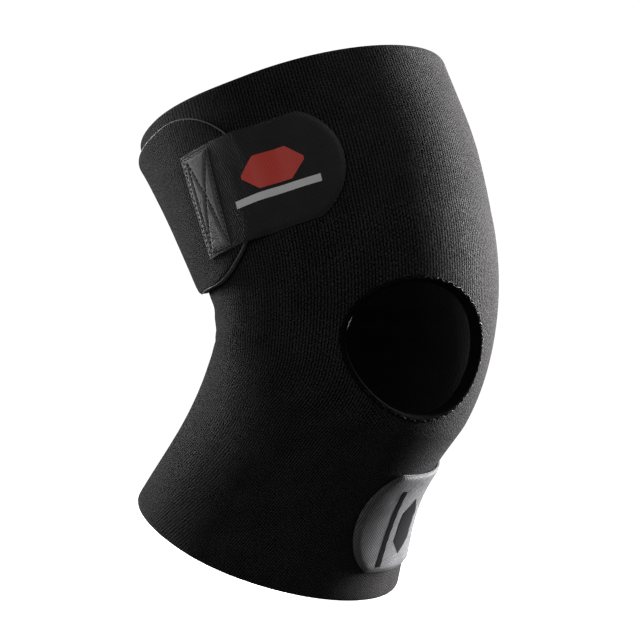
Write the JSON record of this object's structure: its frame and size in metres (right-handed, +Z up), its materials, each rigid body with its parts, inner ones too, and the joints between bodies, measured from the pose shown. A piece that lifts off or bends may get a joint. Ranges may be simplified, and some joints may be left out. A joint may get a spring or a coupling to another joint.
{
  "type": "knee brace",
  "caption": "Black wrap-around neoprene knee brace worn bent, with an open patella, and a wing with a hook tab that closes it above and below the knee.",
  "frame": {"origin": "middle of the knee, on the axis that the brace bends about", "axes": "+X to the front of the leg, -Y to the outer side of the leg, +Z up"},
  "size_m": [0.1888, 0.1532, 0.2631],
  "materials": {
    "face_cloth": "matt knitted nylon",
    "core": "closed-cell foam",
    "lining": "matt knitted nylon",
    "binding": "folded tape",
    "thread": "sewing thread",
    "upper_tab": "ribbed twill tape",
    "lower_tab": "ribbed twill tape",
    "hook": "moulded hooks",
    "red_film": "printed film",
    "white_film": "printed film",
    "dark_film": "printed film",
    "label": "satin label"
  },
  "bodies": {
    "thigh": {"thigh_core": "core", "thigh_face_cloth": "face_cloth", "thigh_lining": "lining", "knee_core": "core", "knee_face_cloth": "face_cloth", "knee_lining": "lining", "patella_binding": "binding", "binding_stitches": "thread", "upper_wing_seam": "thread", "care_label": "label"},
    "calf": {"calf_core": "core", "calf_face_cloth": "face_cloth", "calf_lining": "lining", "lower_wing_seam": "thread"},
    "upper_wing": {"upper_wing_core": "core", "upper_wing_face_cloth": "face_cloth", "upper_wing_lining": "lining", "upper_tab_sewn_end": "upper_tab", "upper_tab_stitches": "thread"},
    "upper_tab": {"upper_tab_flap": "upper_tab", "upper_tab_hook": "hook", "upper_tab_patch": "red_film", "upper_tab_bar": "white_film"},
    "lower_wing": {"lower_wing_core": "core", "lower_wing_face_cloth": "face_cloth", "lower_wing_lining": "lining", "lower_tab_sewn_end": "lower_tab", "lower_tab_stitches": "thread"},
    "lower_tab": {"lower_tab_flap": "lower_tab", "lower_tab_hook": "hook", "lower_tab_patch": "dark_film", "lower_tab_bar": "dark_film"}
  },
  "joints": [
    {"name": "knee_flexion", "type": "hinge", "parent": "thigh", "child": "calf", "pos_m": [0, 0, 0], "axis": [0, 1, 0], "range_deg": [-40, 15], "deforming": ["knee_core", "knee_face_cloth", "knee_lining", "patella_binding", "binding_stitches"]},
    {"name": "upper_wing_open", "type": "hinge", "parent": "thigh", "child": "upper_wing", "pos_m": [-0.06668, 0.05837, 0.05457], "axis": [0.5074, 0.0154, -0.8616], "range_deg": [0, 70]},
    {"name": "upper_tab_peel", "type": "hinge", "parent": "upper_wing", "child": "upper_tab", "pos_m": [-0.00923, -0.07911, 0.05584], "axis": [0.3252, -0.0138, -0.9455], "range_deg": [0, 120]},
    {"name": "lower_wing_open", "type": "hinge", "parent": "calf", "child": "lower_wing", "pos_m": [-0.08705, 0.02879, -0.05078], "axis": [0.5771, -0.0539, 0.8149], "range_deg": [0, 70]},
    {"name": "lower_tab_peel", "type": "hinge", "parent": "lower_wing", "child": "lower_tab", "pos_m": [-0.015, 0.06616, -0.07848], "axis": [0.413, -0.0742, 0.9077], "range_deg": [0, 120]}
  ]
}
